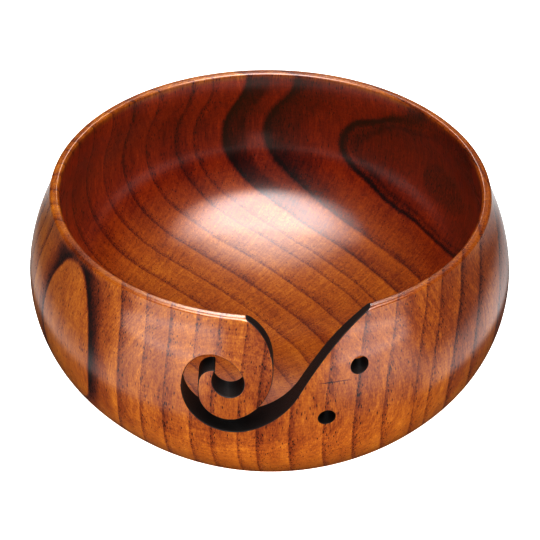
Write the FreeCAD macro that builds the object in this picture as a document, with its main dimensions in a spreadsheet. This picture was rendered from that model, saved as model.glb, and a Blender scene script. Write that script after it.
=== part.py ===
"""Yarn bowl: a turned wooden bowl with a swirl-shaped yarn slot and two needle holes.

Frame: +Z up, the slot faces -Y, and +X is on the right of someone who looks at the slot.
The origin is the centre of the foot, on the surface that the bowl stands on.
"""
import FreeCAD, Part
import math
import os

import Sketcher

START, END, CENTRE = 1, 2, 3
ORIGIN = (-1, 1)
UP_AXIS = -2
QUARTER_TURN = 90

# Sizes are in millimetres and turns in degrees. A turn to the left is positive.
# The section of the bowl is a chain of arcs, each tangent to the one before: it leaves
# the flat of the foot, rises to the rim, turns over it and comes down inside to the floor.
BOWL_SIZES = {
    "height": 78.0,
    "belly_radius": 75.0,
    "foot_round_radius": 3.0,
    "foot_round_turn": 26.6,
    "flank_radius": 70.0,
    "flank_turn": 29.6,
    "belly_curve_radius": 43.0,
    "belly_curve_turn": 42.8,
    "shoulder_radius": 60.0,
    "shoulder_turn": 15.0,
    "neck_radius": 50.0,
    "rim_round_radius": 1.0,
    "mouth_radius": 64.3,
    "neck_inside_radius": 42.4,
    "belly_wall": 7.8,
    "hollow_corner_radius": 35.0,
    "floor_thickness": 12.0,
}

# The far edge of the slot: from the rim down, round the swirl and into the eye of the hook.
FAR_EDGE = [
    ("mouth_bend", 59.7, 27.5),
    ("throat_bend", 30.1, -38.2),
    ("swirl_bottom", 13.6, -136.8),
    ("swirl_top", 8.8, -135.8),
    ("eye", 4.5, -235.4),
]

# The near edge of the slot: from the rim down and round the back of the hook to its tip.
NEAR_EDGE = [
    ("hook_shoulder", 14.2, -22.7),
    ("hook_back", 17.5, -98.4),
    ("hook_bottom", 8.2, -114.4),
    ("hook_front", 19.5, -11.8),
    ("hook_tip", 4.6, -83.1),
]

# Where each edge of the slot crosses the rim, and which way it heads from there.
SLOT_SIZES = {
    "far_edge_across": 28.2,
    "far_edge_heading": -146.2,
    "near_edge_across": -6.3,
    "near_edge_heading": -30.2,
    "slot_overrun": 4.0,
}

# Two holes beside the slot, drilled along Y, that hold needles or a crochet hook.
NEEDLE_HOLE_SIZES = {
    "needle_hole_diameter": 5.0,
    "upper_hole_across": 25.7,
    "upper_hole_up": 63.0,
    "lower_hole_across": 16.8,
    "lower_hole_up": 47.9,
}


def make_sheet(doc):
    """Put every driving size into a spreadsheet, in a cell of its own."""
    sizes = {**BOWL_SIZES, **SLOT_SIZES, **NEEDLE_HOLE_SIZES}
    for name, radius, turn in FAR_EDGE + NEAR_EDGE:
        sizes[name + "_radius"] = radius
        sizes[name + "_turn"] = turn
    sheet = doc.addObject("Spreadsheet::Sheet", "Sizes")
    for row, (name, value) in enumerate(sizes.items(), start=1):
        sheet.set(f"A{row}", name)
        sheet.set(f"B{row}", str(value))
        sheet.setAlias(f"B{row}", name)
    doc.recompute()
    return sheet


class Drawing:
    """A sketch on the body's XZ plane, drawn as chains of tangent lines and arcs."""

    def __init__(self, body, sheet, name):
        plane = next(item for item in body.Origin.OriginFeatures if item.Role == "XZ_Plane")
        self.sheet = sheet
        self.sketch = body.newObject("Sketcher::SketchObject", name)
        self.sketch.AttachmentSupport = [(plane, "")]
        self.sketch.MapMode = "FlatFace"
        self.begin((0, 0), 0)

    def size(self, name):
        return float(self.sheet.get(name))

    def begin(self, point, heading):
        """Start a new chain at a point, heading so many degrees to the left of across."""
        self.point = point
        self.heading = heading
        self.last = None

    def relate(self, kind, *items):
        self.sketch.addConstraint(Sketcher.Constraint(kind, *items))

    def tie(self, name, kind, *items, formula):
        """Add a dimension whose value comes from the spreadsheet."""
        index = self.sketch.addConstraint(Sketcher.Constraint(kind, *items))
        self.sketch.renameConstraint(index, name)
        self.sketch.setExpression(f"Constraints.{name}", formula)

    def tie_across(self, name, piece, point, distance, formula):
        """Set how far a point of a piece is from the bowl's axis."""
        self.tie(name, "DistanceX", *ORIGIN, piece, point, distance, formula=formula)

    def tie_up(self, name, piece, point, distance, formula):
        """Set how far a point of a piece is above the foot."""
        self.tie(name, "DistanceY", *ORIGIN, piece, point, distance, formula=formula)

    def join(self, piece, start, end):
        if self.last is not None:
            self.relate("Tangent", *self.last, piece, start)
        self.last = (piece, end)

    def line(self, length):
        """Go straight on, and return the line."""
        angle = math.radians(self.heading)
        end = (self.point[0] + length * math.cos(angle), self.point[1] + length * math.sin(angle))
        piece = self.segment(self.point, end)
        self.join(piece, START, END)
        self.point = end
        return piece

    def segment(self, start, end):
        straight = Part.LineSegment(FreeCAD.Vector(*start, 0), FreeCAD.Vector(*end, 0))
        return self.sketch.addGeometry(straight, False)

    def arc(self, radius, turn):
        """Turn left by turn degrees, or right when it is negative, and return the arc."""
        side = math.copysign(QUARTER_TURN, turn)
        towards_centre = math.radians(self.heading + side)
        across = self.point[0] + radius * math.cos(towards_centre)
        up = self.point[1] + radius * math.sin(towards_centre)
        first = towards_centre - math.pi
        last = first + math.radians(turn)
        circle = Part.Circle(FreeCAD.Vector(across, up, 0), FreeCAD.Vector(0, 0, 1), radius)
        arc = Part.ArcOfCircle(circle, min(first, last), max(first, last))
        piece = self.sketch.addGeometry(arc, False)
        if turn > 0:
            self.join(piece, START, END)
        else:
            self.join(piece, END, START)
        self.point = (across + radius * math.cos(last), up + radius * math.sin(last))
        self.heading += turn
        return piece

    def tied_arc(self, name, turn):
        """Draw an arc whose radius is in the spreadsheet."""
        radius = self.size(name + "_radius")
        piece = self.arc(radius, turn)
        self.tie(f"{name}_radius_{piece}", "Radius", piece, radius, formula=f"Sizes.{name}_radius")
        return piece

    def sized_arc(self, name):
        """Draw an arc whose radius and turn are both in the spreadsheet."""
        turn = self.size(name + "_turn")
        piece = self.tied_arc(name, turn)
        formula = f"abs(Sizes.{name}_turn) * 1 deg"
        self.tie(f"{name}_turn", "Angle", piece, math.radians(abs(turn)), formula=formula)
        return piece


def foot_flat_radius(draw):
    """Return the radius of the flat under the foot that gives the belly its radius."""
    foot_heading = math.sin(math.radians(draw.size("foot_round_turn")))
    flank_heading = math.sin(math.radians(draw.size("foot_round_turn") + draw.size("flank_turn")))
    foot_reach = draw.size("foot_round_radius") * foot_heading
    flank_reach = draw.size("flank_radius") * (flank_heading - foot_heading)
    belly_reach = draw.size("belly_curve_radius") * (1 - flank_heading)
    return draw.size("belly_radius") - foot_reach - flank_reach - belly_reach


def draw_outside(draw):
    """Draw the flat of the foot and the outer wall, up to the hollow of the neck."""
    foot = draw.line(foot_flat_radius(draw))
    draw.relate("Coincident", foot, START, *ORIGIN)
    draw.relate("Horizontal", foot)
    draw.sized_arc("foot_round")
    draw.sized_arc("flank")
    belly = draw.sized_arc("belly_curve")
    reach = draw.size("belly_radius") - draw.size("belly_curve_radius")
    draw.tie_across("belly_reach", belly, CENTRE, reach, "Sizes.belly_radius - Sizes.belly_curve_radius")
    draw.sized_arc("shoulder")


def draw_rim(draw):
    """Draw the slightly hollow neck and the rim, whose top is flat between two rounds."""
    neck, rounding = draw.size("neck_radius"), draw.size("rim_round_radius")
    climb = draw.size("height") - draw.point[1]
    level = neck * math.cos(math.radians(draw.heading))
    neck_heading = math.degrees(math.acos((climb + level - rounding) / (neck + rounding)))
    draw.tied_arc("neck", neck_heading - draw.heading)
    draw.tied_arc("rim_round", 2 * QUARTER_TURN - draw.heading)

    mouth = draw.size("mouth_radius")
    top = draw.line(draw.point[0] - rounding - mouth)
    draw.relate("Horizontal", top)
    draw.tie_up("height", top, START, draw.size("height"), "Sizes.height")

    inner = draw.tied_arc("rim_round", QUARTER_TURN)
    draw.relate("Horizontal", inner, CENTRE, inner, END)
    draw.tie_across("mouth", inner, END, mouth, "Sizes.mouth_radius")


def draw_hollow(draw):
    """Draw the inside: out from the neck to the belly, round the corner and across the floor."""
    bend = draw.size("neck_inside_radius")
    belly = draw.size("belly_radius") - draw.size("belly_wall")
    step = belly - draw.size("mouth_radius")
    swing = math.degrees(math.acos(1 - step / (2 * bend)))
    draw.tied_arc("neck_inside", swing)
    widest = draw.tied_arc("neck_inside", -swing)
    draw.relate("Horizontal", widest, CENTRE, widest, START)
    draw.tie_across("belly_inside", widest, START, belly, "Sizes.belly_radius - Sizes.belly_wall")

    corner, floor = draw.size("hollow_corner_radius"), draw.size("floor_thickness")
    across, up, base = belly - corner, draw.point[1], floor + corner
    centre_up = (base ** 2 - across ** 2 - up ** 2) / (2 * (base - up))
    lean = math.degrees(math.atan2(across, centre_up - up))
    draw.tied_arc("hollow_corner", lean - QUARTER_TURN)
    bottom = draw.arc(centre_up - floor, -lean)
    draw.relate("PointOnObject", bottom, CENTRE, UP_AXIS)
    draw.relate("PointOnObject", bottom, START, UP_AXIS)
    draw.tie_up("floor", bottom, START, floor, "Sizes.floor_thickness")
    axis = draw.segment(draw.point, (0, 0))
    draw.relate("Coincident", bottom, START, axis, START)
    draw.relate("Coincident", axis, END, *ORIGIN)


def turn_bowl(body, sheet):
    """Turn the bowl's section about the Z axis."""
    draw = Drawing(body, sheet, "BowlSection")
    draw_outside(draw)
    draw_rim(draw)
    draw_hollow(draw)
    bowl = body.newObject("PartDesign::Revolution", "TurnedBowl")
    bowl.Profile = draw.sketch
    bowl.ReferenceAxis = (draw.sketch, ["V_Axis"])
    bowl.Angle = 360
    return bowl


def draw_slot_edge(draw, edge, arcs):
    """Draw one edge of the slot, starting above the rim. Return its first line and its end."""
    across, heading = draw.size(edge + "_across"), draw.size(edge + "_heading")
    height, overrun = draw.size("height"), draw.size("slot_overrun")
    slope = math.radians(heading)
    draw.begin((across + overrun / math.tan(slope), height + overrun), heading)
    lead = draw.line(-overrun / math.sin(slope))
    draw.tie(edge + "_heading", "Angle", lead, slope, formula=f"Sizes.{edge}_heading * 1 deg")
    draw.tie_across(edge + "_across", lead, END, across, f"Sizes.{edge}_across")
    draw.tie_up(edge + "_up", lead, END, height, "Sizes.height")
    for name, _, _ in arcs:
        draw.sized_arc(name)
    return lead, draw.last, draw.point


def draw_slot(draw):
    """Draw the slot's outline: its two edges, closed above the rim and at the hook's tip."""
    far_lead, far_end, far_point = draw_slot_edge(draw, "far_edge", FAR_EDGE)
    near_lead, near_end, near_point = draw_slot_edge(draw, "near_edge", NEAR_EDGE)
    tip = draw.segment(far_point, near_point)
    draw.relate("Coincident", *far_end, tip, START)
    draw.relate("Coincident", *near_end, tip, END)
    height, overrun = draw.size("height"), draw.size("slot_overrun")
    leads = [draw.sketch.Geometry[lead].StartPoint for lead in (near_lead, far_lead)]
    above = draw.segment((leads[0].x, leads[0].y), (leads[1].x, leads[1].y))
    draw.relate("Coincident", near_lead, START, above, START)
    draw.relate("Coincident", far_lead, START, above, END)
    draw.relate("Horizontal", above)
    draw.tie_up("above_rim", above, START, height + overrun, "Sizes.height + Sizes.slot_overrun")


def draw_needle_holes(draw):
    """Draw the two round holes beside the slot."""
    radius = draw.size("needle_hole_diameter") / 2
    for hole in ("upper_hole", "lower_hole"):
        across, up = draw.size(hole + "_across"), draw.size(hole + "_up")
        circle = Part.Circle(FreeCAD.Vector(across, up, 0), FreeCAD.Vector(0, 0, 1), radius)
        piece = draw.sketch.addGeometry(circle, False)
        draw.tie(hole + "_radius", "Radius", piece, radius, formula="Sizes.needle_hole_diameter / 2")
        draw.tie_across(hole + "_across", piece, CENTRE, across, f"Sizes.{hole}_across")
        draw.tie_up(hole + "_up", piece, CENTRE, up, f"Sizes.{hole}_up")


def cut_front_wall(body, draw, name):
    """Cut a sketch's outline straight through the front wall, from the hollow out to -Y."""
    volume = body.Shape.Volume
    cut = body.newObject("PartDesign::Pocket", name)
    cut.Profile = draw.sketch
    cut.Type = "Length"
    cut.setExpression("Length", "Sizes.belly_radius + Sizes.slot_overrun")
    cut.Reversed = True
    body.Document.recompute()
    if body.Shape.Volume >= volume:
        raise RuntimeError(name + " cuts nothing")


def make_bowl(doc, sheet):
    """Turn the bowl, then cut the yarn slot and drill the needle holes."""
    body = doc.addObject("PartDesign::Body", "bowl")
    body.Label = "bowl"
    turn_bowl(body, sheet)
    doc.recompute()
    slot = Drawing(body, sheet, "SlotOutline")
    draw_slot(slot)
    cut_front_wall(body, slot, "YarnSlot")
    holes = Drawing(body, sheet, "NeedleHoleOutlines")
    draw_needle_holes(holes)
    cut_front_wall(body, holes, "NeedleHoles")
    body.Placement = FreeCAD.Placement()
    return body


def check(doc, body):
    """Stop if any feature failed, or the bowl isn't one sound solid."""
    failed = [item.Name for item in doc.Objects if {"Invalid", "Error"} & set(item.State)]
    if failed:
        raise RuntimeError("failed: " + ", ".join(failed))
    if body.Shape.isNull() or not body.Shape.isValid() or len(body.Shape.Solids) != 1:
        raise RuntimeError(body.Label + " is not one valid solid")


def main():
    doc = FreeCAD.newDocument("YarnBowl")
    sheet = make_sheet(doc)
    bowl = make_bowl(doc, sheet)
    doc.recompute()
    check(doc, bowl)
    os.makedirs("parts", exist_ok=True)
    bowl.Shape.exportStep(f"parts/{bowl.Label}.step")
    print(f"{bowl.Label}: {bowl.Shape.Volume / 1000:.1f} cm3, {len(bowl.Shape.Faces)} faces")


main()
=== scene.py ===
"""Yarn bowl: the looks of a turned wooden bowl with a curled yarn slot and two needle holes.

The origin is the middle of the foot, +Z is up and the slot faces -Y. Sizes of the bowl and its
wood are in millimetres and degrees, and MM turns them into metres.
"""

import bpy
import math
from mathutils import Matrix, Vector
from mathutils.geometry import delaunay_2d_cdt


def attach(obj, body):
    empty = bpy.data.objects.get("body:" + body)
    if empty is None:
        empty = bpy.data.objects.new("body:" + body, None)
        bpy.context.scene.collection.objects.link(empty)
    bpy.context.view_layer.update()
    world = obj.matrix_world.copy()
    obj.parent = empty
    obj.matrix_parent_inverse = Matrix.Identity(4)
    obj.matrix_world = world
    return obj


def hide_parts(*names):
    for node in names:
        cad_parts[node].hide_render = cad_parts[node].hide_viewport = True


MM = 0.001

# The section of the bowl, from the middle of the foot, up the outside, over the rim and
# down to the middle of the floor inside: a line's length, or an arc's radius and turn.
SECTION = [
    ("line", 39.56),
    ("arc", 3.0, 26.6),
    ("arc", 70.0, 29.6),
    ("arc", 43.0, 42.8),
    ("arc", 60.0, 15.0),
    ("arc", 50.0, -9.27),
    ("arc", 1.0, 75.27),
    ("line", 1.08),
    ("arc", 1.0, 90.0),
    ("arc", 42.4, 15.03),
    ("arc", 42.4, -15.03),
    ("arc", 35.0, -62.05),
    ("arc", 103.7, -27.95),
]
RIM_FLAT = 7

# The edges of the slot, seen from the front, from the rim down.
FAR_EDGE = [
    ("arc", 59.7, 27.5),
    ("arc", 30.1, -38.2),
    ("arc", 13.6, -136.8),
    ("arc", 8.8, -135.8),
    ("arc", 4.5, -235.4),
]
NEAR_EDGE = [
    ("arc", 14.2, -22.7),
    ("arc", 17.5, -98.4),
    ("arc", 8.2, -114.4),
    ("arc", 19.5, -11.8),
    ("arc", 4.6, -83.1),
]
RIM_HEIGHT = 78.0
FAR_START, FAR_HEADING = (28.2, RIM_HEIGHT), -146.2
NEAR_START, NEAR_HEADING = (-6.3, RIM_HEIGHT), -30.2

NEEDLE_HOLES = [(25.7, 63.0), (16.8, 47.9)]
HOLE_RADIUS = 2.5

# How fine the mesh is: columns round the bowl, the longest step between rows, the most that a
# tight arc turns between them, and the points along the slot and round a hole.
COLUMNS = 200
ROW_STEP = 2.0
TIGHT_RADIUS, TURN_STEP = 5.0, 11.0
EDGE_STEP = 0.5
HOLE_POINTS = 40
# How far the edges of the cuts are rounded, and in how many steps.
SLOT_ROUND = 0.35
HOLE_ROUND = 0.12
EDGE_LOOPS = 4
# How many rows or columns the mesh keeps clear of a cut, and how close its points are joined.
KEEP_OFF = 0.45
JOIN_WITHIN = 1e-6
# How often the search for a height on the section halves its range.
HALVINGS = 50


class Chain:
    """Lines and arcs joined smoothly, which can be asked for any point along their length."""

    def __init__(self, start, heading, pieces):
        self.pieces = []
        self.joints = [0.0]
        point = Vector(start)
        heading = math.radians(heading)
        for kind, size, *turn in pieces:
            is_arc = kind == "arc"
            bend = math.radians(turn[0]) if is_arc else 0.0
            length = size * abs(bend) if is_arc else size
            self.pieces.append((point, heading, size if is_arc else None, bend, length))
            self.joints.append(self.joints[-1] + length)
            point, heading = self.walk(len(self.pieces) - 1, length)
        self.length = self.joints[-1]

    def walk(self, index, along):
        """Return the point and the heading at a distance along one piece."""
        point, heading, radius, bend, length = self.pieces[index]
        if radius is None:
            return point + along * Vector((math.cos(heading), math.sin(heading))), heading
        side = math.copysign(math.pi / 2, bend)
        centre = point + radius * Vector((math.cos(heading + side), math.sin(heading + side)))
        heading = heading + bend * along / length
        out = heading - side
        return centre + radius * Vector((math.cos(out), math.sin(out))), heading

    def at(self, along):
        """Return the point and the heading at a distance along the whole chain."""
        along = min(max(along, 0.0), self.length)
        for index, end in enumerate(self.joints[1:]):
            if along <= end or index == len(self.pieces) - 1:
                return self.walk(index, along - self.joints[index])


class Surface:
    """The turned surface of the bowl: a place is an angle round it and a distance up its section."""

    def __init__(self):
        self.chain = Chain((0.0, 0.0), 0.0, SECTION)
        self.rows = self.make_rows()

    def make_rows(self):
        """Return the places along the section where the mesh has a row."""
        rows = [0.0]
        for index, (_, _, radius, bend, length) in enumerate(self.chain.pieces):
            tight = radius and radius < TIGHT_RADIUS
            by_turn = abs(math.degrees(bend)) / TURN_STEP if tight else 0
            count = max(1, math.ceil(length / ROW_STEP), math.ceil(by_turn))
            start = self.chain.joints[index]
            rows += [start + length * (i + 1) / count for i in range(count)]
        return rows

    def point(self, angle, along):
        (radius, height), _ = self.chain.at(along)
        return Vector((radius * math.sin(angle), -radius * math.cos(angle), height))

    def frame(self, angle, along):
        """Return the outward normal, the direction round the bowl and the one up the section."""
        _, heading = self.chain.at(along)
        out = Vector((math.sin(angle), -math.cos(angle), 0.0))
        up = Vector((0.0, 0.0, 1.0))
        normal = out * math.sin(heading) - up * math.cos(heading)
        climb = out * math.cos(heading) + up * math.sin(heading)
        return normal, Vector((math.cos(angle), math.sin(angle), 0.0)), climb

    def find(self, x, height, inside):
        """Return the angle and the place along the section at an x and a height in front."""
        low, high = self.chain.joints[0], self.chain.joints[RIM_FLAT]
        if inside:
            low, high = self.chain.length, self.chain.joints[RIM_FLAT + 1]
        for _ in range(HALVINGS):
            middle = (low + high) / 2
            if self.chain.at(middle)[0].y < height:
                low = middle
            else:
                high = middle
        radius = self.chain.at(high)[0].x
        return math.asin(x / radius), high

    def row_number(self, along):
        """Return the number of the row at a place along the section, with its fraction."""
        for index in range(len(self.rows) - 1):
            if along <= self.rows[index + 1]:
                start, end = self.rows[index], self.rows[index + 1]
                return index + (along - start) / (end - start)
        return len(self.rows) - 1.0


def edge_points(start, heading, pieces):
    """Return points down one edge of the slot, closest together at the rim."""
    chain = Chain(start, heading, pieces)
    crowded, steps = 3.0, 14
    places = [crowded * (i / steps) ** 2 for i in range(steps)]
    count = math.ceil((chain.length - crowded) / EDGE_STEP)
    places += [crowded + (chain.length - crowded) * i / count for i in range(count + 1)]
    return [chain.at(place) for place in places]


def slot_outline():
    """Return the slot's two edges, down one and up the other, as (x, height, heading).

    The wood is on the right of each heading.
    """
    near = edge_points(NEAR_START, NEAR_HEADING, NEAR_EDGE)
    far = edge_points(FAR_START, FAR_HEADING, FAR_EDGE)[::-1]
    near = [(point.x, point.y, heading) for point, heading in near]
    return near, [(point.x, point.y, heading + math.pi) for point, heading in far]


def right_of(heading):
    return Vector((math.sin(heading), -math.cos(heading)))


def mitre(one, other):
    """Return the direction between two unit directions, lengthened to reach both offsets."""
    return (one + other) / (1 + one.dot(other))


def slot_stations():
    """Return (x, height, direction into the wood) round the slot, from rim to rim."""
    near, far = slot_outline()
    stations = [(x, up, right_of(heading)) for x, up, heading in near + far]
    last, first = len(near) - 1, len(near)
    blunt = Vector(stations[first][:2]) - Vector(stations[last][:2])
    end = right_of(math.atan2(blunt.y, blunt.x))
    for index in (last, first):
        x, up, into = stations[index]
        stations[index] = (x, up, mitre(into, end))
    return stations


def hole_stations(x, height):
    """Return (x, height, direction into the wood) round a needle hole."""
    turns = [2 * math.pi * i / HOLE_POINTS for i in range(HOLE_POINTS)]
    around = [Vector((math.cos(turn), math.sin(turn))) for turn in turns]
    return [(x + HOLE_RADIUS * out.x, height + HOLE_RADIUS * out.y, out) for out in around]


class Builder:
    """Collects the vertices, normals and faces of the bowl's mesh."""

    WOOD, CHAR = 0, 1

    def __init__(self):
        self.surface = Surface()
        self.vertices = []
        self.normals = []
        self.faces = []
        self.finishes = []
        self.step = 2 * math.pi / COLUMNS

    def vertex(self, place, normal):
        self.vertices.append(place * MM)
        self.normals.append(normal)
        return len(self.vertices) - 1

    def face(self, corners, finish=WOOD):
        self.faces.append(corners)
        self.finishes.append(finish)

    def mark(self, angle, along, into, size):
        """Round the edge of a cut at one place. Return its vertices, and its column and row.

        The first vertex lies on the surface, clear of the cut, and the last one in the cut.
        """
        normal, across, climb = self.surface.frame(angle, along)
        wood = Vector((into.x, 0.0, into.y))
        stretch, air = wood.length, -wood.normalized()
        edge = normal.cross(air).normalized()
        back = edge.cross(normal)
        back *= math.copysign(stretch, back.dot(wood))
        down = edge.cross(air)
        down *= math.copysign(1.0, -down.dot(normal))

        corner = self.surface.point(angle, along)
        radius = math.hypot(corner.x, corner.y)
        angle += size * back.dot(across) / radius
        along += size * back.dot(climb)
        marked = [self.vertex(self.surface.point(angle, along), normal)]
        for i in range(1, EDGE_LOOPS + 1):
            turn = math.pi / 2 * i / EDGE_LOOPS
            reach = back * (1 - math.sin(turn)) + down * (1 - math.cos(turn))
            facing = normal * math.cos(turn) + air * math.sin(turn)
            marked.append(self.vertex(corner + size * reach, facing.normalized()))
        return marked, (angle / self.step, self.surface.row_number(along))

    def marks(self, stations, inside, size):
        """Mark a cut's outline on the outer or the inner surface."""
        found = [(self.surface.find(x, up, inside), into) for x, up, into in stations]
        return [self.mark(angle, along, into, size) for (angle, along), into in found]

    def rim_marks(self, x, into):
        """Mark where the slot crosses the flat of the rim, from the outside in."""
        start, end = self.surface.chain.joints[RIM_FLAT:RIM_FLAT + 2]
        places = [start + (end - start) * i / 4 for i in (1, 2, 3)]
        radii = [self.surface.chain.at(place)[0].x for place in places]
        return [self.mark(math.asin(x / radius), place, into, SLOT_ROUND)
                for place, radius in zip(places, radii)]

    def round_over(self, loop):
        """Add the faces of a cut's rounded edge."""
        for (here, _), (ahead, _) in zip(loop, loop[1:] + loop[:1]):
            for i in range(EDGE_LOOPS):
                finish = self.WOOD if i < 1 else self.CHAR
                self.face([here[i], ahead[i], ahead[i + 1], here[i + 1]], finish)

    def cut_slot(self):
        """Add the slot's wall and rounded edges, and return its loop of marks."""
        stations = slot_stations()
        outer, inner = (self.marks(stations, side, SLOT_ROUND) for side in (False, True))
        far = self.rim_marks(stations[-1][0], stations[-1][2])
        near = self.rim_marks(stations[0][0], stations[0][2])[::-1]
        loop = outer + far + inner[::-1] + near
        self.round_over(loop)
        outer, inner, far, near = (
            [marked[-1] for marked, _ in part] for part in (outer, inner, far, near))
        last = len(outer) - 1
        for i in range(1, last - 1):
            self.face([outer[i], outer[i + 1], inner[i + 1], inner[i]], self.CHAR)
        self.face([outer[0], outer[1], inner[1], inner[0], *near], self.CHAR)
        self.face([outer[last - 1], outer[last], *far, inner[last], inner[last - 1]], self.CHAR)
        return loop

    def cut_hole(self, x, height):
        """Add a needle hole's wall and rounded edges, and return its two loops of marks."""
        stations = hole_stations(x, height)
        outer, inner = (self.marks(stations, side, HOLE_ROUND) for side in (False, True))
        for i in range(len(outer)):
            after = (i + 1) % len(outer)
            corners = [outer[i], outer[after], inner[after], inner[i]]
            self.face([marked[-1] for marked, _ in corners], self.CHAR)
        loops = [outer, inner[::-1]]
        for loop in loops:
            self.round_over(loop)
        return loops


def crosses(spot, loop):
    """Return True where a spot is inside a loop of marks."""
    inside = False
    for (_, one), (_, other) in zip(loop, loop[1:] + loop[:1]):
        if (one[1] > spot[1]) != (other[1] > spot[1]):
            share = (spot[1] - one[1]) / (other[1] - one[1])
            if spot[0] < one[0] + share * (other[0] - one[0]):
                inside = not inside
    return inside


def nearest(spot, loop):
    """Return how far a spot is from the closest mark of a loop."""
    return min(math.hypot(spot[0] - place[0], spot[1] - place[1]) for _, place in loop)


class Grid:
    """The rows and columns of the turned surface, with a patch that is fitted to the cuts.

    The patch lies between two columns in front, above one height, outside and inside.
    """

    FRONT = (-17, 19)
    LOWEST = 36.0

    def __init__(self, builder):
        self.builder = builder
        self.rows = builder.surface.rows
        self.known = {}
        high = [i for i, row in enumerate(self.rows)
                if builder.surface.chain.at(row)[0].y > self.LOWEST]
        self.patch_rows = (high[0], high[-1])

    def corner(self, row, column):
        """Return the vertex at a row and a column, made when it is first needed."""
        column %= COLUMNS
        if row in (0, len(self.rows) - 1):
            column = 0
        if (row, column) not in self.known:
            surface, angle = self.builder.surface, column * self.builder.step
            along = self.rows[row]
            vertex = self.builder.vertex(surface.point(angle, along), surface.frame(angle, along)[0])
            self.known[row, column] = vertex
        return self.known[row, column]

    def in_patch(self, row, column):
        turn = (column + COLUMNS // 2) % COLUMNS - COLUMNS // 2
        across = self.FRONT[0] <= turn < self.FRONT[1]
        return across and self.patch_rows[0] <= row < self.patch_rows[1]

    def fill_round(self):
        """Add the faces of every row, apart from the patch in front."""
        for row in range(len(self.rows) - 1):
            for column in range(COLUMNS):
                if self.in_patch(row, column):
                    continue
                corners = [self.corner(row, column), self.corner(row, column + 1),
                           self.corner(row + 1, column + 1), self.corner(row + 1, column)]
                self.builder.face(list(dict.fromkeys(corners)))

    def fill_patch(self, loops):
        """Join the patch's rows and columns to the loops of the cuts."""
        spots, vertices, edges = [], [], []
        for loop in loops:
            start, count = len(spots), len(loop)
            spots += [place for _, place in loop]
            vertices += [marked[0] for marked, _ in loop]
            edges += [(start + i, start + (i + 1) % count) for i in range(count)]
        for row in range(self.patch_rows[0], self.patch_rows[1] + 1):
            for column in range(self.FRONT[0], self.FRONT[1] + 1):
                spot = (column, row)
                if any(crosses(spot, loop) or nearest(spot, loop) < KEEP_OFF for loop in loops):
                    continue
                spots.append(spot)
                vertices.append(self.corner(row, column))
        flat = [Vector(spot) for spot in spots]
        made, _, triangles, origins, _, _ = delaunay_2d_cdt(flat, edges, [], 0, JOIN_WITHIN)
        for triangle in triangles:
            middle = sum((made[i] for i in triangle), Vector((0.0, 0.0))) / 3
            if not any(crosses(middle, loop) for loop in loops):
                self.builder.face([vertices[origins[i][0]] for i in triangle])


def build_bowl():
    """Return the bowl as a new object whose cuts have rounded edges and charred walls."""
    builder = Builder()
    loops = [builder.cut_slot()]
    for x, height in NEEDLE_HOLES:
        loops += builder.cut_hole(x, height)
    grid = Grid(builder)
    grid.fill_round()
    grid.fill_patch(loops)

    mesh = bpy.data.meshes.new("turned_bowl")
    mesh.from_pydata(builder.vertices, [], builder.faces)
    mesh.polygons.foreach_set("material_index", builder.finishes)
    mesh.polygons.foreach_set("use_smooth", [True] * len(mesh.polygons))
    mesh.update()
    mesh.normals_split_custom_set_from_vertices(builder.normals)
    bowl = bpy.data.objects.new("turned_bowl", mesh)
    bpy.context.scene.collection.objects.link(bowl)
    return bowl


# The tree that the bowl was turned from. Its pith stood left of the bowl and in front of it,
# leaning a little: each of its two places runs as a + b * rise + c * rise ** 2.
PITH_X = (-82.4, 0.085, -0.00159)
PITH_Y = (-58.3, 0.079, -0.00096)
PITH_LEVEL = 40.0
# The rings are out of round: each wave, how often it goes round, and its share of the radius.
OUT_OF_ROUND = [
    ("COSINE", 2, -0.045), ("SINE", 2, -0.046), ("COSINE", 3, 0.035), ("SINE", 3, -0.041),
]
# How far the rings wander and over what scale, and how ragged their edges are.
WANDER, WANDER_SCALE, WANDER_DETAIL, WANDER_STRETCH = 1.6, 0.06, 2.0, (1.0, 1.0, 0.35)
RAGGED = 1.1

# Where each ring starts from the pith, and how dark its line of pores is.
RINGS = [
    (0.0, 0.30), (5.0, 0.40), (12.0, 0.30), (20.0, 0.20), (28.2, 0.80), (38.6, 0.75),
    (46.6, 0.80), (54.2, 0.80), (62.8, 0.75), (69.4, 0.70), (77.4, 0.75), (82.5, 0.80),
    (92.0, 0.75), (101.0, 0.75), (108.8, 0.80), (116.2, 0.75), (123.8, 0.80), (127.5, 0.70),
    (132.8, 0.90), (138.4, 0.80), (145.5, 0.90), (148.6, 0.50), (153.0, 0.55), (161.0, 0.60),
    (169.0, 0.65), (177.0, 0.60), (186.0, 0.60), (195.0, 0.60),
]
RING_REACH = 204.0
# How dark the wood itself is, from the pith out: dark bands lie just past a few of the rings.
BANDS = [
    (0.0, 0.18), (28.1, 0.09), (28.3, 1.00), (30.4, 0.80), (32.5, 0.28), (38.5, 0.05),
    (38.7, 0.28), (46.5, 0.03), (54.2, 0.18), (62.8, 0.04), (69.5, 0.22), (77.4, 0.06),
    (82.6, 0.25), (101.0, 0.06), (108.9, 0.30), (116.1, 0.08), (123.9, 0.34), (132.7, 0.12),
    (132.9, 1.00), (135.4, 0.88), (136.3, 0.45), (138.3, 0.30), (138.5, 1.00), (139.6, 0.70),
    (142.5, 0.36), (145.2, 0.30), (146.2, 0.50), (153.0, 0.38), (169.0, 0.32), (200.0, 0.20),
]
# Two fine dark lines that lie close together: the place of each from the pith, and its darkness.
FINE_LINES = [(145.55, 0.60), (146.35, 0.30)]
FINE_CORE, FINE_WIDTH = 0.05, 0.35
# They are fainter high on the wall: heights from and to, and their share at each.
FINE_FADE = (66.0, 73.0, 1.0, 0.25)
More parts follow.
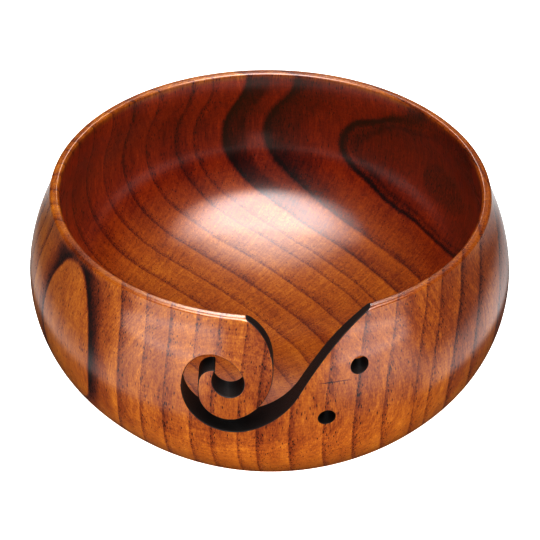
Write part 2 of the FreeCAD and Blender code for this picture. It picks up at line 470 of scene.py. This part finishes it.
# The bands are fainter low on the bowl, at the rim and at the left edge: the axis, the places
# from and to along it, and the bands' share at each.
BAND_FADES = [
    (2, 25.0, 46.0, 0.25, 1.0),
    (2, 75.5, 77.5, 1.0, 0.3),
    (0, -71.0, -60.0, 0.25, 1.0),
]
# In front on the right the bands give way to an even tone, with painted shade that darkens it towards
# the rim.
PAINTED_SHADE_ACROSS = (5.0, 40.0, 0.0, 0.8)
PAINTED_SHADE_DEEP = (-35.0, 5.0, 1.0, 0.0)
PAINTED_SHADE_RISE = (40.0, 62.0, 0.0, 0.24)

# Through each ring, from its first wood to its last: how dark its line of pores is, and what
# share of the places for pores is filled.
PORE_LINE = [(0.0, 1.0), (0.05, 0.9), (0.12, 0.45), (0.25, 0.15), (0.7, 0.04), (1.0, 0.0)]
PORE_CROWD = [(0.0, 0.95), (0.08, 0.9), (0.18, 0.45), (0.4, 0.10), (1.0, 0.05)]
PORE_SCALE, PORE_STRETCH = 2.1, (1.0, 1.0, 0.22)
PORE_MIDDLE, PORE_EDGE = 0.22, 0.38

# The grain's patterns: how each is drawn out, its scale, detail and roughness, and how far it
# lightens or darkens the wood.
GRAIN = {
    "streaks": ((1.0, 1.0, 0.12), 1.3, 3.0, 0.75, 0.14),
    "flecks": ((1.0, 1.0, 0.35), 3.2, 1.0, 0.5, 0.10),
    "broad": ((0.22, 5.0, 0.03), 1.0, 3.0, 0.6, 0.12),
    "rays": ((0.12, 170.0, 0.10), 1.0, 2.0, 0.6, 0.10),
    "tooling": ((14.0, 1.0, 1.7), 1.0, 2.0, 0.7, 0.06),
}
# The run of a pattern's values, from the one that darkens most to the one that lightens most.
GRAIN_RUN = (0.25, 0.75)

# A fine check in the wood runs almost level between the needle holes.
CHECK_MIDDLE, CHECK_HALF, CHECK_TAPER = 19.0, 4.8, 1.5
CHECK_LEVEL, CHECK_SLOPE, CHECK_WAVER = 59.9, -0.026, 0.5
CHECK_CORE, CHECK_WIDTH = 0.06, 0.24

# How light plain wood is, and how much each mark darkens it.
PLAIN_TONE = 0.84
BAND_DEPTH, PORE_LINE_DEPTH, CHECK_DEPTH, PORE_DEPTH = 0.68, 0.48, 0.40, 0.50
# The colours of the stained wood, from its darkest tone to its lightest.
WOOD_COLOURS = [
    (0.0, (0.010, 0.0022, 0.0016)),
    (0.3, (0.080, 0.010, 0.0022)),
    (0.6, (0.24, 0.046, 0.0040)),
    (0.85, (0.42, 0.124, 0.0072)),
    (1.0, (0.56, 0.205, 0.014)),
]
# Tints inside the bowl, of the colours above. On the wall, painted shade, darker and redder,
# comes in as the surface turns inward and as it rises, and goes at the rim. On the floor a tint
# that makes it a little darker comes in as the surface levels out, and goes as it rises.
WALL_SHADE_TINT, WALL_INWARD = (1.02, 0.38, 0.20), (0.1, 0.7)
WALL_RISE, WALL_RIM = (18.0, 50.0), (75.0, 77.0, 1.0, 0.0)
FLOOR_TINT, FLOOR_LEVEL, FLOOR_RISE = (0.85, 0.81, 0.90), (0.2, 0.5), (30.0, 50.0, 1.0, 0.0)
# How rough the wood is between its pores and in them, and how much its streaks stand out.
WOOD_ROUGH, PORE_ROUGH = 0.32, 0.5
STREAK_RELIEF = 0.4
# Soot on the cuts: how it is drawn out, its scale, detail and roughness, the run of its values,
# and its colour and sheen at each end of that run.
SOOT_STRETCH, SOOT_GRAIN, SOOT_RUN = (1.0, 1.0, 0.25), (2.2, 4.0, 0.65), (0.3, 0.7)
SOOT_DARK, SOOT_PALE = (0.004, 0.0022, 0.0018), (0.020, 0.0075, 0.0050)
SOOT_SHEEN = (0.4, 0.65)


class Graph:
    """A material's nodes, added one at a time with their inputs."""

    def __init__(self, name):
        self.material = bpy.data.materials.new(name)
        self.material.use_nodes = True
        self.tree = self.material.node_tree
        self.tree.nodes.clear()

    def add(self, kind, inputs=None, **settings):
        """Add a node with its settings, and with each input set to a value or linked."""
        node = self.tree.nodes.new("ShaderNode" + kind)
        for key, value in settings.items():
            setattr(node, key, value)
        for key, value in (inputs or {}).items():
            if isinstance(value, bpy.types.NodeSocket):
                self.tree.links.new(value, node.inputs[key])
            else:
                node.inputs[key].default_value = value
        return node

    def math(self, operation, *values, clamp=False):
        node = self.add("Math", dict(enumerate(values)), operation=operation, use_clamp=clamp)
        return node.outputs[0]

    def product(self, first, *others):
        """Multiply numbers together."""
        for other in others:
            first = self.math("MULTIPLY", first, other)
        return first

    def vector(self, operation, *values):
        """Work on vectors. A length and a dot product are numbers, and all else is a vector."""
        inputs = dict(enumerate(values))
        if operation == "SCALE":
            inputs = {0: values[0], "Scale": values[1]}
        result = "Value" if operation in ("LENGTH", "DOT_PRODUCT") else "Vector"
        return self.add("VectorMath", inputs, operation=operation).outputs[result]

    def parts(self, vector):
        """Return the x, y and z of a vector."""
        return self.add("SeparateXYZ", {0: vector}).outputs

    def join(self, x, y, z):
        return self.add("CombineXYZ", {0: x, 1: y, 2: z}).outputs[0]

    def noise(self, where, scale, detail, roughness=0.5):
        inputs = {"Vector": where, "Scale": scale, "Detail": detail, "Roughness": roughness}
        return self.add("TexNoise", inputs)

    def ramp(self, factor, stops, interpolation="LINEAR"):
        """Add a colour ramp with stops of (place, colour)."""
        node = self.add("ValToRGB", {"Fac": factor})
        band = node.color_ramp
        band.interpolation = interpolation
        while len(band.elements) < len(stops):
            band.elements.new(1.0)
        for element, (place, colour) in zip(band.elements, stops):
            element.position = place
            element.color = (*colour, 1.0)
        return node.outputs["Color"]

    def curve(self, factor, points):
        """Add a curve of straight runs through points within 0 to 1."""
        node = self.add("FloatCurve", {"Value": factor})
        line = node.mapping.curves[0]
        for place in points[2:]:
            line.points.new(*place)
        for knot, place in zip(line.points, points):
            knot.location = place
            knot.handle_type = "VECTOR"
        node.mapping.update()
        return node.outputs[0]

    def span(self, value, start, end, low=0.0, high=1.0, kind="LINEAR"):
        """Map a value from one range onto another, held within it."""
        inputs = {"Value": value, "From Min": start, "From Max": end, "To Min": low, "To Max": high}
        return self.add("MapRange", inputs, interpolation_type=kind).outputs[0]

    def smooth(self, value, start, end, low=0.0, high=1.0):
        """Map a value from one range onto another, easing in and out at its ends."""
        return self.span(value, start, end, low, high, "SMOOTHSTEP")

    def finish(self, shader):
        self.add("OutputMaterial", {"Surface": shader.outputs[0]})
        return self.material


def grey(tone):
    return (tone, tone, tone)


def curved(graph, rise, a, b, c):
    """Return a + b * rise + c * rise ** 2."""
    inner = graph.math("MULTIPLY_ADD", rise, c, b)
    return graph.math("MULTIPLY_ADD", rise, inner, a)


def wandering(graph, place):
    """Return a place moved a little, so that the rings don't run quite true."""
    drawn = graph.vector("MULTIPLY", place, WANDER_STRETCH)
    wander = graph.noise(drawn, WANDER_SCALE, WANDER_DETAIL).outputs["Color"]
    shift = graph.vector("SCALE", graph.vector("SUBTRACT", wander, grey(0.5)), WANDER)
    return graph.vector("ADD", place, shift)


def ring_radius(graph, where):
    """Return how far a place is from the pith, as its ring would measure in a round tree.

    Also return the turn about the pith.
    """
    parts = graph.parts(where)
    rise = graph.math("SUBTRACT", parts[2], PITH_LEVEL)
    x = graph.math("SUBTRACT", parts[0], curved(graph, rise, *PITH_X))
    y = graph.math("SUBTRACT", parts[1], curved(graph, rise, *PITH_Y))
    square = graph.math("MULTIPLY_ADD", x, x, graph.product(y, y))
    turn = graph.math("ARCTAN2", y, x)
    share = 1.0
    for wave, times, size in OUT_OF_ROUND:
        swing = graph.math(wave, graph.product(turn, times))
        share = graph.math("MULTIPLY_ADD", swing, size, share)
    return graph.product(graph.math("SQRT", square), share), turn


def ring_place(graph, radius):
    """Return the number of the ring at a radius, and the share of the ring that lies below it."""
    count = len(RINGS)
    knots = [(start / RING_REACH, i / count) for i, (start, _) in enumerate(RINGS)]
    place = graph.curve(graph.math("DIVIDE", radius, RING_REACH), knots + [(1.0, 1.0)])
    number = graph.product(place, count)
    return graph.math("FLOOR", number), graph.math("FRACT", number)


def pore_lines(graph, ring, across):
    """Return how dark the line of pores is, which is darkest where a ring starts."""
    steps = [(i / len(RINGS), grey(dark)) for i, (_, dark) in enumerate(RINGS)]
    step = graph.math("DIVIDE", graph.math("ADD", ring, 0.5), len(RINGS))
    return graph.product(graph.curve(across, PORE_LINE), graph.ramp(step, steps, "CONSTANT"))


def ring_bands_and_painted_shade(graph, radius, spot):
    """Return how dark the bands of wood and the fine lines are, with painted shade in front on the
    right.
    """
    tones = [(start / RING_REACH, grey(tone)) for start, tone in BANDS]
    band = graph.ramp(graph.math("DIVIDE", radius, RING_REACH), tones)
    faint = graph.smooth(spot[2], *FINE_FADE)
    for start, tone in FINE_LINES:
        off = graph.math("ABSOLUTE", graph.math("SUBTRACT", radius, start))
        line = graph.span(off, FINE_CORE, FINE_WIDTH, tone, 0.0)
        band = graph.math("MULTIPLY_ADD", line, faint, band)
    for axis, *fade in BAND_FADES:
        band = graph.product(band, graph.smooth(spot[axis], *fade))
    # Painted shade: in front on the right the bands give way to an even tone that darkens towards the
    # rim.
    right = graph.product(graph.smooth(spot[0], *PAINTED_SHADE_ACROSS), graph.smooth(spot[1], *PAINTED_SHADE_DEEP))
    band = graph.product(band, graph.math("SUBTRACT", 1.0, right))
    return graph.math("MULTIPLY_ADD", right, graph.smooth(spot[2], *PAINTED_SHADE_RISE), band)


def open_pores(graph, place, across):
    """Return 1 in the open pores and 0 between them: they crowd where a ring starts."""
    drawn = graph.vector("MULTIPLY", place, PORE_STRETCH)
    cells = graph.add("TexVoronoi", {"Vector": drawn, "Scale": PORE_SCALE})
    chance = graph.add("SeparateColor", {0: cells.outputs["Color"]}).outputs[0]
    filled = graph.math("LESS_THAN", chance, graph.curve(across, PORE_CROWD))
    pore = graph.span(cells.outputs["Distance"], PORE_MIDDLE, PORE_EDGE, 1.0, 0.0)
    return graph.product(pore, filled)


def grain_patterns(graph, place, spot, radius, turn):
    """Return the grain's patterns by name: they follow the fibres, the rings or the tool."""
    rings = graph.join(radius, turn, spot[2])
    tool = graph.join(graph.math("ARCTAN2", spot[0], spot[1]), 0.0, spot[2])
    follows = {"streaks": place, "flecks": place, "broad": rings, "rays": rings, "tooling": tool}
    patterns = {}
    for name, (stretch, scale, detail, roughness, _) in GRAIN.items():
        drawn = graph.vector("MULTIPLY", follows[name], stretch)
        patterns[name] = graph.noise(drawn, scale, detail, roughness).outputs[0]
    return patterns


def fine_check(graph, spot, flecks):
    """Return 1 along the fine check between the needle holes and 0 clear of it."""
    level = graph.math("MULTIPLY_ADD", spot[0], CHECK_SLOPE, CHECK_LEVEL)
    level = graph.math("MULTIPLY_ADD", graph.math("SUBTRACT", flecks, 0.5), CHECK_WAVER, level)
    off = graph.math("ABSOLUTE", graph.math("SUBTRACT", spot[2], level))
    along = graph.math("ABSOLUTE", graph.math("SUBTRACT", spot[0], CHECK_MIDDLE))
    thin = graph.product(graph.span(off, CHECK_CORE, CHECK_WIDTH, 1.0, 0.0),
                         graph.span(along, CHECK_HALF - CHECK_TAPER, CHECK_HALF, 1.0, 0.0))
    return graph.product(thin, graph.math("LESS_THAN", spot[1], 0.0))


def wood_tone(graph, spot, patterns, dark, pore):
    """Return how light the wood is, from 0 to 1."""
    tone = graph.math("MULTIPLY_ADD", dark, -BAND_DEPTH, PLAIN_TONE)
    for name, pattern in patterns.items():
        reach = GRAIN[name][-1]
        tone = graph.math("ADD", tone, graph.span(pattern, *GRAIN_RUN, -reach, reach))
    check = fine_check(graph, spot, patterns["flecks"])
    tone = graph.math("MULTIPLY_ADD", check, -CHECK_DEPTH, tone)
    return graph.math("MULTIPLY_ADD", pore, -PORE_DEPTH, tone, clamp=True)


def inside_tint_and_painted_shade(graph, place, height):
    """Return the tint inside the bowl: painted shade, darker and redder, on the upper wall, and a
    slight darkening on the floor.
    """
    normal = graph.add("TexCoord").outputs["Normal"]
    rise = graph.parts(normal)[2]
    reach = graph.vector("LENGTH", graph.vector("MULTIPLY", place, (1.0, 1.0, 0.0)))
    along = graph.vector("DOT_PRODUCT", normal, place)
    inward = graph.math("DIVIDE", graph.math("SUBTRACT", graph.product(rise, height), along), reach)
    wall = graph.product(graph.smooth(inward, *WALL_INWARD), graph.smooth(height, *WALL_RISE),
                         graph.smooth(height, *WALL_RIM))
    floor = graph.product(graph.smooth(height, *FLOOR_RISE), graph.span(rise, *FLOOR_LEVEL))
    return graph.vector("MULTIPLY", graph.ramp(floor, [(0.0, grey(1.0)), (1.0, FLOOR_TINT)]),
                        graph.ramp(wall, [(0.0, grey(1.0)), (1.0, WALL_SHADE_TINT)]))


def wood_material():
    """Return lacquered red-brown wood with growth rings, pores, fibres and rays, and with painted shade
    inside and in front on the right.
    """
    graph = Graph("lacquered_wood")
    place = graph.vector("SCALE", graph.add("TexCoord").outputs["Object"], 1 / MM)
    spot = graph.parts(place)
    radius, turn = ring_radius(graph, wandering(graph, place))
    patterns = grain_patterns(graph, place, spot, radius, turn)
    waver = graph.math("SUBTRACT", patterns["flecks"], 0.5)
    ring, across = ring_place(graph, graph.math("MULTIPLY_ADD", waver, RAGGED, radius))

    # Bands of wood and fine lines, with painted shade in front on the right.
    bands = ring_bands_and_painted_shade(graph, radius, spot)
    dark = graph.math("MULTIPLY_ADD", pore_lines(graph, ring, across), PORE_LINE_DEPTH, bands)
    pore = open_pores(graph, place, across)
    colour = graph.ramp(wood_tone(graph, spot, patterns, dark, pore), WOOD_COLOURS)
    # Painted shade on the upper wall inside, darker and redder, and a slight darkening of the floor
    # inside.
    colour = graph.vector("MULTIPLY", colour, inside_tint_and_painted_shade(graph, place, spot[2]))

    streaks = graph.product(patterns["streaks"], STREAK_RELIEF)
    relief = graph.math("MULTIPLY_ADD", pore, -1.0, streaks)
    bump = graph.add("Bump", {"Strength": 0.12, "Distance": 0.00012, "Height": relief})
    shader = graph.add("BsdfPrincipled", {
        "Base Color": colour, "Roughness": graph.span(pore, 0.0, 1.0, WOOD_ROUGH, PORE_ROUGH),
        "Normal": bump.outputs[0], "Specular IOR Level": 0.2,
        "Coat Weight": 1.0, "Coat Roughness": 0.165, "Coat IOR": 1.6,
    })
    return graph.finish(shader)


def char_material():
    """Return scorched wood: nearly black, with a dull grey sheen and fine soot grain."""
    graph = Graph("charred_edge")
    place = graph.vector("SCALE", graph.add("TexCoord").outputs["Object"], 1 / MM)
    drawn = graph.vector("MULTIPLY", place, SOOT_STRETCH)
    soot = graph.noise(drawn, *SOOT_GRAIN).outputs[0]
    colour = graph.ramp(soot, list(zip(SOOT_RUN, (SOOT_DARK, SOOT_PALE))))
    bump = graph.add("Bump", {"Strength": 0.35, "Distance": 0.0002, "Height": soot})
    shader = graph.add("BsdfPrincipled", {
        "Base Color": colour, "Roughness": graph.span(soot, *SOOT_RUN, *SOOT_SHEEN),
        "Normal": bump.outputs[0], "Specular IOR Level": 0.3,
    })
    return graph.finish(shader)


# The floor, in metres: half its width, and how far it lies below the foot.
FLOOR_HALF, FLOOR_GAP = 4.0, 0.0002
# How brightly the floor is seen, how much light it gives the bowl, and its own grey.
FLOOR_SEEN, FLOOR_FILL, FLOOR_GREY = 0.82, 1.4, (0.8, 0.8, 0.8, 1.0)
# How brightly its patches shine in the lacquer. By turn, in degrees from straight ahead to
# either side, or by reach, in metres from the turning axis: from, to, and the shine at each.
RIGHT_REACH, LEFT_REACH = (0.15, 0.27, 0.66, 0.0), (0.13, 0.21, 0.42, 0.0)
BESIDE_FADE, BESIDE_START = (95, 125, 1.0, 0.45), (50, 66, 0.0, 1.0)
BEHIND_START, BEHIND_REACH = (125, 150, 0.0, 1.0), (0.19, 0.25, 0.35, 0.10)
AHEAD_START, AHEAD_END = (14, 32, 0.0, 1.0), (53, 66, 1.0, 0.0)
AHEAD_REACH, AHEAD_DIM = (0.12, 0.34, 0.55, 1.15), (0.13, 0.22, 0.70, 0.0)
# Close round the bowl the shine falls away: a painted shadow of the bowl on the floor, seen in the
# lacquer.
PAINTED_SHADOW_UNDER_BOWL = (0.110, 0.130, 0.02, 1.0)
# How wide the join between its left and right is, and the least that it shines ahead.
SIDE_JOIN, AHEAD_LEAST = 0.03, 0.03


def floor_shine(graph):
    """Return how brightly the floor shines in the lacquer: beside, behind and ahead of the bowl."""
    flat = graph.vector("MULTIPLY", graph.add("TexCoord").outputs["Object"], (1.0, 1.0, 0.0))
    reach = graph.vector("LENGTH", flat)
    spot = graph.parts(flat)
    turn = graph.math("ARCTAN2", graph.math("ABSOLUTE", spot[0]), graph.product(spot[1], -1.0))

    def by_turn(start, end, low, high):
        return graph.smooth(turn, math.radians(start), math.radians(end), low, high)

    def by_reach(start, end, low, high):
        return graph.smooth(reach, start, end, low, high)

    right = graph.span(spot[0], -SIDE_JOIN, SIDE_JOIN)
    left = graph.math("SUBTRACT", 1.0, right)
    sides = graph.math("ADD", graph.product(right, by_reach(*RIGHT_REACH)),
                       graph.product(left, by_reach(*LEFT_REACH)))
    beside = graph.product(sides, by_turn(*BESIDE_FADE), by_turn(*BESIDE_START))
    behind = graph.product(by_turn(*BEHIND_START), by_reach(*BEHIND_REACH))
    dim = graph.product(right, by_reach(*AHEAD_DIM))
    ahead = graph.product(by_turn(*AHEAD_START), by_turn(*AHEAD_END), by_reach(*AHEAD_REACH),
                          graph.math("SUBTRACT", 1.0, dim))
    ahead = graph.math("MAXIMUM", ahead, AHEAD_LEAST)
    shine = graph.math("ADD", graph.math("ADD", beside, behind), ahead)
    # Painted shadow: the shine falls away close round the bowl.
    return graph.product(shine, by_reach(*PAINTED_SHADOW_UNDER_BOWL))


def floor_material():
    """Return the plain white floor, as it is seen, as it fills shadows and as it shines back."""
    graph = Graph("plain_floor")
    shine = graph.add("Emission", {"Strength": floor_shine(graph)})
    fill = graph.add("Emission", {"Strength": FLOOR_FILL})
    seen = graph.add("Emission", {"Strength": FLOOR_SEEN})
    lit = graph.add("BsdfDiffuse", {"Color": FLOOR_GREY})
    plain = graph.add("AddShader", {0: seen.outputs[0], 1: lit.outputs[0]})
    rays = graph.add("LightPath").outputs
    unseen = graph.add("MixShader", {0: rays["Is Glossy Ray"], 1: fill.outputs[0], 2: shine.outputs[0]})
    mix = graph.add("MixShader", {0: rays["Is Camera Ray"], 1: unseen.outputs[0], 2: plain.outputs[0]})
    return graph.finish(mix)


def add_floor():
    mesh = bpy.data.meshes.new("studio_floor")
    corners = [(-1, -1), (1, -1), (1, 1), (-1, 1)]
    mesh.from_pydata([(x * FLOOR_HALF, y * FLOOR_HALF, 0.0) for x, y in corners], [], [(0, 1, 2, 3)])
    mesh.materials.append(floor_material())
    floor = bpy.data.objects.new("studio_floor", mesh)
    floor.location.z = -FLOOR_GAP
    bpy.context.scene.collection.objects.link(floor)


# The lamps are flat panels, in metres. Oval ones hang over the bowl one inside another, from
# the smallest out: width, depth and radiance. They aim almost straight down.
OVERHEAD_PLACE, OVERHEAD_TARGET = (0.03, -0.27, 0.65), (0.03, -0.2701, 0.0)
OVERHEAD = {
    "core": (0.32, 0.36, 5.6),
    "inner": (0.50, 0.53, 6.2),
    "middle": (0.68, 0.69, 5.2),
    "outer": (0.86, 0.82, 2.8),
    "edge": (1.08, 0.90, 1.3),
}
# The others: place, target, width, height and radiance. A shine is only seen in the lacquer,
# and a fill only lights the wood.
LAMPS = {
    "overhead_fill": ((0.0, -0.03, 0.70), (0.0, 0.0, 0.0), 0.40, 0.40, 6.8),
    "left_shine": ((-0.750, -0.804, 0.13), (0.0, 0.0, 0.06), 0.94, 0.26, 1.8),
    "right_shine": ((0.778, -0.778, 0.13), (0.0, 0.0, 0.06), 0.68, 0.26, 1.8),
    "rim_shine": ((0.0, 0.94, 0.84), (0.0, -0.06, 0.078), 0.18, 0.18, 7.5),
    "front_fill": ((0.0, -1.1, 0.10), (0.0, 0.0, 0.04), 0.90, 0.35, 4.8),
}
SURROUND = 0.03


def add_lamp(name, place, target, width, height, radiance, fill=False, oval=False):
    """Add a panel that faces a target, as a fill or else as a shine."""
    light = bpy.data.lights.new(name, "AREA")
    light.shape = "ELLIPSE" if oval else "RECTANGLE"
    light.size = width
    light.size_y = height
    area = width * height * (math.pi / 4 if oval else 1.0)
    light.energy = radiance * math.pi * area
    lamp = bpy.data.objects.new(name, light)
    lamp.visible_glossy = not fill
    lamp.visible_diffuse = fill
    aim = (Vector(target) - Vector(place)).normalized()
    turn = aim.to_track_quat("-Z", "Y").to_matrix().to_4x4()
    lamp.matrix_world = Matrix.Translation(place) @ turn
    bpy.context.scene.collection.objects.link(lamp)


def add_lights():
    for part, panel in OVERHEAD.items():
        add_lamp("overhead_" + part, OVERHEAD_PLACE, OVERHEAD_TARGET, *panel, oval=True)
    for name, panel in LAMPS.items():
        add_lamp(name, *panel, fill=name.endswith("fill"))


def add_surround():
    """Light the scene very faintly from all round."""
    world = bpy.data.worlds.new("plain_surround")
    world.use_nodes = True
    background = world.node_tree.nodes["Background"]
    background.inputs["Color"].default_value = (1.0, 1.0, 1.0, 1.0)
    background.inputs["Strength"].default_value = SURROUND
    bpy.context.scene.world = world


# The camera looks at a point on the turning axis from in front and above. Then how the picture
# is developed.
VIEW_DISTANCE = 600.0
VIEW_ELEVATION = 37.163
VIEW_HEIGHT = 44.82
VIEW_ROLL = 0.752
VIEW_LENS = 126.617
VIEW_SHIFT = 0.00076
EXPOSURE, GAMMA = 0.8, 0.77


def add_camera():
    raised, roll = math.radians(VIEW_ELEVATION), math.radians(VIEW_ROLL)
    forward = Vector((0.0, math.cos(raised), -math.sin(raised)))
    level, upright = Vector((1.0, 0.0, 0.0)), Vector((0.0, math.sin(raised), math.cos(raised)))
    right = level * math.cos(roll) + upright * math.sin(roll)
    up = upright * math.cos(roll) - level * math.sin(roll)
    place = Vector((0.0, 0.0, VIEW_HEIGHT)) - forward * VIEW_DISTANCE
    data = bpy.data.cameras.new("view")
    data.lens = VIEW_LENS
    data.shift_x = VIEW_SHIFT
    camera = bpy.data.objects.new("view", data)
    turn = Matrix((right, up, -forward)).transposed().to_4x4()
    camera.matrix_world = Matrix.Translation(place * MM) @ turn
    bpy.context.scene.collection.objects.link(camera)
    bpy.context.scene.camera = camera


def add_film():
    """Set how the picture is developed: plain colours with firm contrast."""
    film = bpy.context.scene.view_settings
    film.view_transform = "Standard"
    film.exposure = EXPOSURE
    film.gamma = GAMMA


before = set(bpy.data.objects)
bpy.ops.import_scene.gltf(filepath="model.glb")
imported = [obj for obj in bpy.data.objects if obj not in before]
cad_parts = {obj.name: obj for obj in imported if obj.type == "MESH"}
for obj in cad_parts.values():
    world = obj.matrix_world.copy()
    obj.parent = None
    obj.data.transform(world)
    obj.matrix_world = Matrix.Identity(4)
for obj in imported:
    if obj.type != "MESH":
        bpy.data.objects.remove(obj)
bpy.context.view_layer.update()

bowl = build_bowl()
bowl.data.materials.append(wood_material())
bowl.data.materials.append(char_material())
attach(bowl, "root")
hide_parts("bowl")

add_floor()
add_lights()
add_surround()
add_camera()
add_film()
